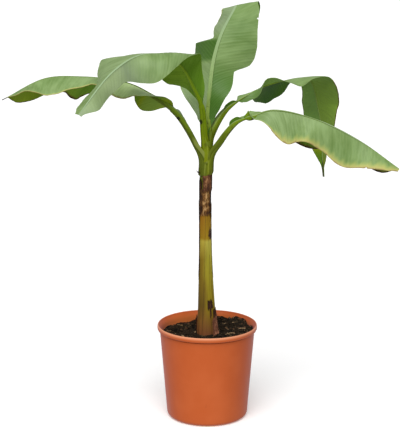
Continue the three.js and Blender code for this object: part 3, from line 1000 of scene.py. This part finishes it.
def pot_profile():
    """Radius and height of each ring of the pot, from its underside over the rim to its inner floor,
    and its painted shade in the rim's groove, painted highlight on its top and painted light inside."""
    wide = RIM_THICKNESS / 2
    tall = RIM_BAND / 2
    band_foot = POT_HEIGHT - RIM_BAND
    under_rim = RIM_RADIUS - RIM_OVERHANG
    inner_height = POT_HEIGHT - INNER_DEPTH
    highlight_start, highlight_full, highlight_fade, highlight_end = HIGHLIGHT_RINGS
    rings = []
    for k in range(FOOT_RINGS):
        turn = math.radians(90 / (FOOT_RINGS - 1) * k)
        radius = FOOT_RADIUS - FOOT_CORNER * (1 - math.sin(turn))
        rings.append((radius, FOOT_CORNER * (1 - math.cos(turn)), 0, 0, 0))
    for k in range(1, WALL_RINGS):
        radius = FOOT_RADIUS + (under_rim - FOOT_RADIUS) * k / WALL_RINGS
        rings.append((radius, FOOT_CORNER + (band_foot - FOOT_CORNER) * k / WALL_RINGS, 0, 0, 0))
    rings.append((under_rim, band_foot - 2 * RIM_GROOVE, 0, 0, 0))
    # The groove under the rim carries painted shade.
    rings.append((under_rim - RIM_GROOVE, band_foot - RIM_GROOVE, 1, 0, 0))
    rings.append((under_rim - RIM_GROOVE, band_foot + RIM_GROOVE, 1, 0, 0))
    for k in range(RIM_RINGS):
        turn = math.radians(-90 + RIM_TURN * k)
        radius = RIM_RADIUS - wide + wide * math.cos(turn)
        # The rim's top carries a painted highlight.
        brow = smooth_share(k, highlight_start, highlight_full) * smooth_share(-k, -highlight_end, -highlight_fade)
        rings.append((radius, POT_HEIGHT - tall + tall * math.sin(turn), 0, float(brow), 0))
    # The inner wall's rings carry painted light.
    for inward, below, inside in INNER_RIM:
        rings.append((RIM_RADIUS - inward, POT_HEIGHT - below, 0, 0, inside))
    rings.append((inner_radius(inner_height), inner_height, 0, 0, 1))
    rings.append((FOOT_RADIUS - POT_WALL, FOOT_CORNER, 0, 0, 1))
    rings.append((FOOT_RADIUS - FOOT_CORNER, POT_WALL, 0, 0, 1))
    return np.array(rings)


def pot():
    rings = pot_profile()
    deselect()
    radius, height = rings[0, :2]
    bpy.ops.mesh.primitive_circle_add(vertices=POT_SIDES, radius=radius, fill_type="NGON")
    piece = bpy.context.object
    piece.name = "pot_shell"
    bpy.ops.object.mode_set(mode="EDIT")
    bpy.ops.mesh.select_all(action="SELECT")
    for wider, higher in rings[1:, :2]:
        grow = wider / radius
        bpy.ops.mesh.extrude_region_move(TRANSFORM_OT_translate={"value": (0, 0, higher - height)})
        bpy.ops.transform.resize(value=(grow, grow, 1), center_override=(0, 0, higher))
        radius, height = wider, higher
    bpy.ops.mesh.select_all(action="SELECT")
    bpy.ops.mesh.normals_make_consistent(inside=False)
    bpy.ops.object.mode_set(mode="OBJECT")
    spots = np.array([(math.hypot(v.co.x, v.co.y), v.co.z) for v in piece.data.vertices])
    nearest = np.argmin(np.linalg.norm(spots[:, None] - rings[None, :, :2], axis=2), axis=1)
    for column, name in enumerate(("groove", "brow", "inside"), 2):
        carry(piece.data, name, rings[nearest, column])
    across = np.array([v.co.x for v in piece.data.vertices])
    # Painted shade on the inner wall towards the right.
    shaded = nearest >= len(rings) - SHADED_RINGS
    carry(piece.data, "stain", smooth_share(across, *SHADE_REACH) * shaded)
    piece.data.materials.append(POT_PLASTIC)
    return finish_piece(piece, ["pot"], smooth=40)


# Soil

def inner_radius(height):
    """Inner radius of the pot's wall."""
    rise = (height - FOOT_CORNER) / (POT_HEIGHT - RIM_BAND - FOOT_CORNER)
    return FOOT_RADIUS + (RIM_RADIUS - RIM_OVERHANG - FOOT_RADIUS) * max(rise, 0) - POT_WALL


def soil_height(x, y):
    """Height of the soil's top: broad lumps and finer grain, level round the stem, banked at the right."""
    away = math.hypot(x, y)
    fade = float(smooth_share(away, SEAT_RADIUS, SEAT_RADIUS + SEAT_FADE))
    waves = math.sin(x / LUMP_WAVES[0] + 1) * math.cos(y / LUMP_WAVES[1])
    waves += 0.6 * math.sin(x / SWELL_WAVES[0] - y / SWELL_WAVES[1] + 2)
    rough = noise.fractal(Vector((x * GRAIN_SCALE, y * GRAIN_SCALE, 3)), 0.8, 2.1, 5)
    bank = SOIL_BANK * float(smooth_share(x + BANK_SKEW * y, *BANK_REACH))
    bank += SOIL_BACK * float(smooth_share(x, *BACK_REACH_X) * smooth_share(y, *BACK_REACH_Y))
    return SOIL_LEVEL + fade * SOIL_LUMPS * (waves - 0.4) + SOIL_GRAIN * (rough + 0.3 * fade) + bank


def soil():
    edge = inner_radius(SOIL_LEVEL + SOIL_BANK) - SOIL_GAP
    shoulder = SOIL_LEVEL - SOIL_SHOULDER

    def shape(x, y):
        points = []
        for turn, out in zip(x * math.tau, y):
            if out <= SOIL_TOP_SHARE:
                reach = edge * (out / SOIL_TOP_SHARE)
                height = soil_height(reach * math.cos(turn), reach * math.sin(turn))
            else:
                depth = (out - SOIL_TOP_SHARE) / (1 - SOIL_TOP_SHARE)
                height = shoulder - depth * (shoulder - FOOT_CORNER)
                reach = inner_radius(height) - SOIL_GAP
            points.append((reach * math.cos(turn), reach * math.sin(turn), height))
        return np.array(points), {}

    piece = shaped_grid("soil_top", [COMPOST], *SOIL_GRID, shape, closed=True)
    return finish_piece(piece, ["potting_soil"], smooth=60)


def small_shape(add, **sizes):
    """Corners and faces of a primitive, which is then removed."""
    deselect()
    add(**sizes)
    made = bpy.context.object
    corners = np.array([vertex.co[:] for vertex in made.data.vertices])
    faces = [list(face.vertices) for face in made.data.polygons]
    mesh = made.data
    bpy.data.objects.remove(made)
    bpy.data.meshes.remove(mesh)
    return corners, faces


def scattered(name, shape, skin, count, seed, size, stretch, tilt=0.4, sink=0.3, wobble=0.0):
    """Many copies of a small shape lying on the soil, joined in one mesh."""
    rng = random.Random(seed)
    corners, faces = shape
    points = []
    polygons = []
    edge = inner_radius(SOIL_LEVEL) - LITTER_GAP
    while len(polygons) < count * len(faces):
        reach = edge * math.sqrt(rng.random())
        turn = rng.uniform(0, math.tau)
        x, y = reach * math.cos(turn), reach * math.sin(turn)
        if reach < STEM_RADII[0] + LITTER_GAP:
            continue
        scale = rng.uniform(*size)
        spin = Euler((rng.gauss(0, tilt), rng.gauss(0, tilt), rng.uniform(0, math.tau))).to_matrix()
        lift = soil_height(x, y) + scale * stretch[2] * (0.5 - sink)
        sizes = [scale * s * rng.uniform(0.7, 1.3) for s in stretch]
        start = len(points)
        for corner in corners:
            bent = [c * s * (1 + rng.uniform(-wobble, wobble)) for c, s in zip(corner, sizes)]
            points.append(spin @ Vector(bent) + Vector((x, y, lift)))
        polygons += [[start + i for i in face] for face in faces]
    mesh = bpy.data.meshes.new(name)
    mesh.from_pydata(points, [], polygons)
    piece = bpy.data.objects.new(name, mesh)
    bpy.context.scene.collection.objects.link(piece)
    mesh.materials.append(skin)
    return finish_piece(piece, smooth=30)


def bark_curl(name, x, y, length, turn):
    """A long pale curl of bark that arches over the soil."""
    def shape(around, share):
        angle = around * math.tau
        swell = 1 - (2 * share - 1) ** 2
        taper = np.sqrt(np.maximum(swell, CURL_END))
        run = (share - 0.5) * length
        side = CURL_BEND * length * swell + CURL_WIDTH / 2 * taper * np.cos(angle)
        lift = CURL_ARCH * length * swell + CURL_THICKNESS / 2 * taper * np.sin(angle)
        spin = math.radians(turn)
        return np.stack([
            x + run * math.cos(spin) - side * math.sin(spin),
            y + run * math.sin(spin) + side * math.cos(spin),
            soil_height(x, y) + CURL_LIFT + lift,
        ], axis=1), {}

    piece = shaped_grid(name, [PALE_CHIP], *CURL_GRID, shape, closed=True)
    return finish_piece(piece, smooth=60)


def soil_litter():
    lump = small_shape(bpy.ops.mesh.primitive_ico_sphere_add, subdivisions=1, radius=0.5)
    chip = small_shape(bpy.ops.mesh.primitive_cylinder_add, vertices=6, radius=0.5, depth=1)
    stalk = small_shape(bpy.ops.mesh.primitive_cylinder_add, vertices=5, radius=0.5, depth=1,
                        rotation=(0, math.pi / 2, 0))
    stalk[0][:] = stalk[0][:, (2, 1, 0)]
    scattered("soil_crumbs", lump, CRUMB, count=900, seed=3, size=(0.003, 0.009),
              stretch=(1, 0.9, 0.7), wobble=0.25)
    scattered("bark_chips", chip, BARK_CHIP, count=110, seed=5, size=(0.005, 0.014),
              stretch=(1, 0.5, 0.18), wobble=0.2)
    scattered("pale_chips", chip, PALE_CHIP, count=26, seed=8, size=(0.004, 0.010),
              stretch=(1, 0.4, 0.16), wobble=0.2)
    scattered("straw_bits", stalk, STRAW, count=26, seed=13, size=(0.008, 0.022),
              stretch=(1, 0.05, 0.05), tilt=0.2, sink=-1)
    for number, place in enumerate(BARK_CURLS, 1):
        bark_curl(f"bark_curl_{number}", *place)


# Pseudostem and its dry sheaths

STEM_PATH, STEM_LENGTHS = smooth_path(np.array(STEM_AXIS, float))


def stem_centre(height):
    return at_lengths(STEM_LENGTHS, STEM_PATH, STEM_LENGTHS[-1] * np.clip(height, 0, STEM_TOP) / STEM_TOP)


def stem_radius(height):
    return along(STEM_RADII, height / STEM_TOP)


def on_stem(angle, height, out):
    """Points at a distance from the stem's axis."""
    points = stem_centre(height)
    points[:, 0] += out * np.cos(angle)
    points[:, 1] += out * np.sin(angle)
    points[:, 2] = SOIL_LEVEL + height
    return points


def stem():
    def shape(x, y):
        angle = math.tau * x
        height = STEM_TOP * y
        waist = smooth_share(height, *WAIST_START) * smooth_share(-height, -WAIST_END[1], -WAIST_END[0])
        out = stem_radius(height) - SHEATH_STEP
        out -= COLLAR_WAIST * waist
        seam = np.zeros(len(x))
        for start, turn, top in SHEATH_EDGES:
            edge = np.radians(start + turn * y)
            past = np.mod(angle - edge, math.tau)
            below_top = smooth_share(top - height, 0, SHEATH_TOP_FADE)
            step = SHEATH_STEP * smooth_share(past, 0, SHEATH_RISE) * np.exp(-past / SHEATH_FADE)
            out += step * below_top
            ahead = smooth_share(past, math.tau - SEAM_START, math.tau - SEAM_FULL)
            seam = np.maximum(seam, ahead * below_top)
        out += STEM_RIBBING * np.sin(26 * angle + 9 * y) * np.sin(7 * angle - 5 * y)
        side = np.cos(angle) + 0.12 * np.sin(23 * y)
        aside = (np.cos(angle) - SCAR_RIGHT) / SCAR_WIDE
        spot = np.exp(-aside ** 2 - ((height - SCAR_HEIGHT) / SCAR_TALL) ** 2)
        spot *= smooth_share(-np.sin(angle), *SCAR_FRONT)
        return on_stem(angle, height, out), {"height": height, "side": side, "seam": seam, "spot": spot}

    piece = shaped_grid("stem_skin", [STEM_SKIN], *STEM_GRID, shape, closed=True)
    return finish_piece(piece, ["pseudostem"])


def wrapped(name, seed, start, end, low, high, ragged, lift, peel, age, blush=0, fray=.003, dark_end=0,
            columns=48, rows=44):
    """A papery dry sheath round part of the stem, from one angle and height to another. Its ends are
    ragged and its edges frayed. It lies that lift off the stem, and its edges peel off further."""
    def torn(angle, salt):
        return np.array([noise.fractal(Vector((a, salt, seed)), 0.7, 2, 4) for a in RAGGED_SCALE * angle])

    def shape(x, y):
        angle = np.radians(start + (end - start) * x)
        bottom = low + ragged * torn(angle, 1.5)
        top = high + ragged * torn(angle, 7.5)
        height = np.maximum(bottom + (top - bottom) * y, 0.001)
        spots = zip(CREASE_SCALE[0] * angle, CREASE_SCALE[1] * height)
        crease = np.array([noise.fractal(Vector((a, h, seed)), 0.8, 2, 4) for a, h in spots])
        loose = np.abs(2 * x - 1) ** 6 + 0.6 * np.abs(2 * y - 1) ** 8
        out = stem_radius(height) + lift + PAPER_CREASE * crease + peel * loose
        # Age and worn edges, plus a painted shade towards the sheath's last angle.
        worn_and_shaded = age + 0.6 * np.abs(2 * x - 1) ** 4 + dark_end * smooth_share(x, 0.55, 0.8)
        return on_stem(angle, height, out), {"age": worn_and_shaded, "blush": np.full(len(x), float(blush))}

    def cut(x, y):
        wide = math.radians(end - start) * float(stem_radius(np.array([(low + high) / 2]))[0])
        tall = high - low
        inside = np.minimum(np.minimum(x, 1 - x) * wide, np.minimum(y, 1 - y) * tall)
        spots = zip(BITE_SCALE * wide * x, BITE_SCALE * tall * y)
        bite = np.array([noise.fractal(Vector((a, b, seed + 0.5)), 0.7, 2, 4) for a, b in spots])
        return inside < fray * bite

    piece = shaped_grid(name, [DRY_PAPER], columns, rows, shape, cut)
    thicken(piece, PAPER_THICKNESS, 1)
    return piece


def stub():
    """A small hooked remnant at the left of the collar."""
    path, lengths = smooth_path(STUB_PATH)

    def shape(x, y):
        point = at_lengths(lengths, path, lengths[-1] * y)
        point[:, 2] += SOIL_LEVEL
        thick = STUB_RADIUS * (1 - 0.6 * y)
        turn = math.tau * x
        point[:, 1] += thick * np.cos(turn)
        point[:, 2] += thick * np.sin(turn)
        return point, {"age": np.ones(len(x)), "blush": np.zeros(len(x))}

    return shaped_grid("stub", [DRY_PAPER], *STUB_GRID, shape, closed=True)


def dry_sheaths():
    # Seed, angles and heights from and to, raggedness, lift, peel and age, then blush and fray.
    collar = [
        wrapped("collar_tan", 1, -145, -40, .315, .384, .006, -.0006, .0008, .1),
        wrapped("collar_upper", 2, -114, 5, .379, .425, .009, .0014, .0006, .42, .35, dark_end=.8),
        wrapped("collar_left", 3, -200, -122, .324, .408, .014, -.0008, .0008, .75),
        wrapped("collar_back", 4, -45, 165, .33, .4, .016, -.0008, .001, .4, columns=60),
        wrapped("flank_left", 10, -198, -146, .16, .335, .02, 0, .0006, .55, columns=24),
        wrapped("flank_right", 11, -36, 12, .16, .335, .02, 0, .0006, .55, columns=24),
        stub(),
    ]
    finish_piece(join("dry_collar", collar), ["dry_sheath_collar"])
    foot = [
        wrapped("foot_flap", 5, -62, 50, .001, .047, .006, .0016, .004, .05, 1),
        wrapped("foot_strip", 6, -82, -44, .072, .095, .006, .0008, .001, .85, .15, .012, columns=40),
        wrapped("foot_thread", 9, -68, -58, .05, .08, .006, .0006, .001, .7, .1, .003, columns=14),
        wrapped("foot_tear", 7, -46, 6, .038, .068, .006, .0008, .001, .85, .2, .006, columns=48),
        wrapped("foot_back", 8, 95, 165, .002, .04, .012, .0012, .002, .5, .5, columns=30),
    ]
    finish_piece(join("dry_foot", foot), ["dry_sheath_foot"])


# Petioles with their ribs, and blades

def whole(leaf):
    """A leaf with the defaults filled in."""
    filled = {**LEAF_DEFAULTS, **leaf}
    for side in ("right", "left"):
        filled[side] = {"under": leaf[side]["tone"], **HALF_DEFAULTS, **leaf[side]}
    return filled


def half_lean(leaf, share):
    """Direction out of the upper side at the midrib, as parts along right and up."""
    right = np.radians(along(leaf["right"]["fold"], share))
    left = np.radians(along(leaf["left"]["fold"], share))
    lean = np.stack([np.sin(left) - np.sin(right), np.cos(left) + np.cos(right)], -1)
    on_blade = smooth_share(share, *LEAN_REACH)[:, None]
    return unit(unit(lean) * on_blade + np.array((0, 1)) * (1 - on_blade))


def petiole(leaf, midrib, layer):
    """The petiole and the rib that it becomes: wrapped round the stem at its base, then half round below
    and grooved above, and thin on the blade."""
    aim = midrib.points[-1] - midrib.points[0]
    heading = math.atan2(aim[1], aim[0])
    drop = leaf["drop"]
    span = midrib.length + leaf["thread"] + drop

    def shape(x, y):
        length = -drop + span * y
        share = midrib.share(length)
        point, right, up = midrib.frame(np.maximum(length, 0))
        lean = half_lean(leaf, np.maximum(share, 0))
        top = right * lean[:, :1] + up * lean[:, 1:]
        flank = right * lean[:, 1:] - up * lean[:, :1]
        on_blade = smooth_share(share, *RIB_REACH)
        stalk = along(leaf["petiole"], length / midrib.neck)
        half = np.where(share < 0, stalk, np.minimum(stalk, along(leaf["rib"], share))) / 2
        turn = math.tau * x
        side = np.sin(turn)
        across = np.cos(turn)
        above = side * (BRIM - GROOVE * side) * (1 - (1 - RIB_PROUD) * on_blade)
        depth = np.where(side < 0, BELLY * side, above)
        points = point + flank * (half * across)[:, None] + top * (half * depth)[:, None]
        height = point[:, 2] + np.minimum(length, 0) - SOIL_LEVEL
        wrap = heading - math.radians(leaf["wrap"]) * across
        rise = smooth_share(length, -drop, 0)
        out = stem_radius(np.minimum(height, STEM_TOP)) - BASE_THICKNESS * (1 + side - 1.1 * rise)
        base = on_stem(wrap, height, out + BASE_LAYER * layer * rise)
        free = smooth_share(length, BASE_HOLD * np.abs(across), BASE_RISE)[:, None]
        margin = smooth_share(np.abs(across), *LIP_FACING) * smooth_share(length, *LIP_START)
        margin *= leaf["lip"] * (1 - smooth_share(length, *LIP_END))
        # Painted shadow spots near the neck.
        bruise = np.zeros(len(x))
        for spot, around, reach in leaf["bruises"]:
            facing = smooth_share(np.cos(turn - math.radians(around)), *SHADOW_SPOT_FACING)
            bruise = np.maximum(bruise, facing * np.exp(-((length - spot) / reach) ** 2))
        values = {
            "along": np.clip(length / midrib.length, 0, 1),
            "groove": smooth_share(side, 0.1 - 0.4 * on_blade, 0.5 - 0.3 * on_blade),
            "flank": across,
            "side": side,
            "margin": margin,
            # Share of painted shade on the underside.
            "belly": np.maximum(-side, 0) * leaf["belly"],
            "dull": leaf["dull"] * rise,
            "bruise": bruise,
            "withered": smooth_share(share, leaf["withered"], leaf["withered"] + WITHER_FADE),
        }
        return base * (1 - free) + points * free, values

    rows = int(span / RIB_STEP)
    piece = shaped_grid(leaf["name"] + "_rib", [PETIOLE_SKIN], RIB_SIDES, rows, shape, closed=True)
    return finish_piece(piece, [leaf["name"] + "_petiole"])


def blade(leaf, midrib, seed):
    """The two halves of a leaf, folded and curled at the midrib, with veins, ripples, flaps and tears."""
    start = midrib.neck - WING_LENGTH
    span = midrib.length - start
    rows = int(span / BLADE_STEP)
    sign = {"right": 1, "left": -1}
    tears = []
    for side, share, depth, gap in leaf["tears"]:
        row = round((midrib.neck + share * midrib.blade - start) / span * rows) + 0.5
        tears.append((sign[side], start + span * row / rows, depth, gap))

    def place(x, y):
        """Side, share of the half's width and length along the midrib."""
        side = np.where(x < 0.5, -1, 1)
        return side, np.abs(2 * x - 1) ** MARGIN_CROWDING, start + span * y

    def shape(x, y):
        side, out_share, length = place(x, y)
        torn = length.copy()
        for tear_side, spot, depth, gap in tears:
            open_share = np.clip((out_share - 1 + depth) / depth, 0, 1) * (side == tear_side)
            fall = np.exp(-np.abs(length - spot) / TEAR_REACH)
            torn += np.sign(length - spot) * gap / 2 * open_share * fall
        length = np.clip(torn, start, midrib.length)
        share = midrib.share(length)

        def read(key):
            return np.where(side > 0, along(leaf["right"][key], share), along(leaf["left"][key], share))

        winged = np.clip((length - midrib.neck + leaf["wing"]) / leaf["wing"], 0, 1)
        width = read("width") * winged ** 2
        fold = np.radians(read("fold"))
        fold = np.where(share < 0, fold + (1 - winged) * (math.radians(WING_FOLD) - fold), fold)
        for flap_side, before, reach, height, stand in leaf["flaps"]:
            off = (length - midrib.neck + before) / reach
            bump = np.exp(-off ** 4) * (side == sign[flap_side])
            width += height * bump
            fold += bump * (math.radians(stand) - fold)
        curl = np.radians(read("curl"))
        curl = np.where(np.abs(curl) < LEAST_CURL, LEAST_CURL, curl)
        slope = fold + curl * out_share
        out = width * (np.sin(slope) - np.sin(fold)) / curl
        rise = width * (np.cos(fold) - np.cos(slope)) / curl
        slant = VEIN_SLANT + NECK_SLANT * (1 - smooth_share(share, *NECK_REACH))
        vein = (length - slant * out_share * width) / VEIN_SPACING
        ripple = 0.6 * np.sin(math.tau * length / RIPPLES[0] + 2.1 * seed + side)
        ripple += 0.4 * np.sin(math.tau * length / RIPPLES[1] + 3.7 * seed - 2 * side)
        lift = leaf["ripple"] * ripple * out_share ** RIPPLE_RISE * np.minimum(width / RIPPLE_WIDTH, 1)
        pleat = PLEAT * np.sin(math.tau * vein / PLEAT_VEINS)
        lift += pleat * smooth_share(out_share * width, *PLEAT_REACH)
        point, right, up = midrib.frame(length)
        points = point + right * (side * (out - lift * np.sin(slope)))[:, None]
        points += up * (rise + lift * np.cos(slope))[:, None]
        band = np.maximum(read("dry"), LEAST_DRY)
        waves = np.sin(length * FRAY_WAVES[0] + seed) * np.sin(length * FRAY_WAVES[1] + 2 * seed)
        dry = np.clip(1 - (1 - out_share) * width / (band * (1 + DRY_FRAY * waves)), 0, 1)
        return points, {
            "vein": vein,
            "across": side * out_share,
            "dry": dry * smooth_share(band, *DRY_FADE),
            "tone": read("tone"),
            "under_tone": read("under"),
        }

    def cut(x, y):
        side, out_share, length = place(x, y)
        gone = np.zeros(len(x), bool)
        for tear_side, spot, depth, _ in tears:
            at_tear = np.abs(length - spot) < span / rows / 2
            gone |= (side == tear_side) & (out_share > 1 - depth) & at_tear
        return gone

    skins = [LEAF_UPPER, LEAF_UNDER]
    piece = shaped_grid(leaf["name"] + "_blade", skins, BLADE_COLUMNS, rows, shape, cut)
    thicken(piece, BLADE_THICKNESS, -1, under=1)
    nodes = [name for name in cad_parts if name.startswith(leaf["name"] + "_leaf")]
    return finish_piece(piece, nodes)


def plant():
    stem()
    dry_sheaths()
    for seed, leaf in enumerate(map(whole, LEAVES)):
        midrib = Midrib(leaf)
        petiole(leaf, midrib, seed)
        blade(leaf, midrib, seed)


# Stage and light

def stage():
    deselect()
    bpy.ops.mesh.primitive_circle_add(vertices=FLOOR_SIDES, radius=FLOOR_RADIUS, fill_type="NGON")
    floor = bpy.context.object
    floor.name = "floor"

    def pale(s):
        return {
            "Base Color": (252, 252, 252), "Roughness": 0.9,
            "Emission Color": (255, 255, 255), "Emission Strength": FLOOR_GLOW,
        }

    floor.data.materials.append(material("pale_floor", pale))
    floor.visible_diffuse = False
    floor.visible_glossy = False


def sky():
    """An even white backdrop that lights the plant less from its two sides."""
    world = bpy.data.worlds.new("studio")
    world.use_nodes = True
    s = Shade(world.node_tree)
    way = s.node("TexCoord", out="Generated")
    height = s.node("SeparateXYZ", inputs={0: way}, out=2)
    aside = s.maths("ABSOLUTE", s.node("SeparateXYZ", inputs={0: way}, out=0))
    light = SKY_BELOW + (SKY_STRENGTH - SKY_BELOW) * height.band(*SKY_HORIZON)
    light = light * (1 - SKY_SIDES * aside.band(*SKY_ASIDE))
    seen = s.node("LightPath", out="Is Camera Ray")
    background = world.node_tree.nodes["Background"]
    background.inputs["Color"].default_value = (1, 1, 1, 1)
    s.feed(background.inputs["Strength"], s.maths("MAXIMUM", light, seen))
    bpy.context.scene.world = world
    bpy.context.scene.view_settings.view_transform = "Standard"


def sun():
    data = bpy.data.lights.new("sun", "SUN")
    data.energy = SUN_STRENGTH
    data.angle = math.radians(SUN_SPREAD)
    made = bpy.data.objects.new("sun", data)
    height = math.radians(SUN_HEIGHT)
    aside = math.radians(SUN_ASIDE)
    level = math.cos(height)
    place = Vector((-math.sin(aside) * level, -math.cos(aside) * level, math.sin(height)))
    made.rotation_euler = place.to_track_quat("Z", "Y").to_euler()
    bpy.context.scene.collection.objects.link(made)


pot()
soil()
soil_litter()
plant()
stage()
sky()
sun()
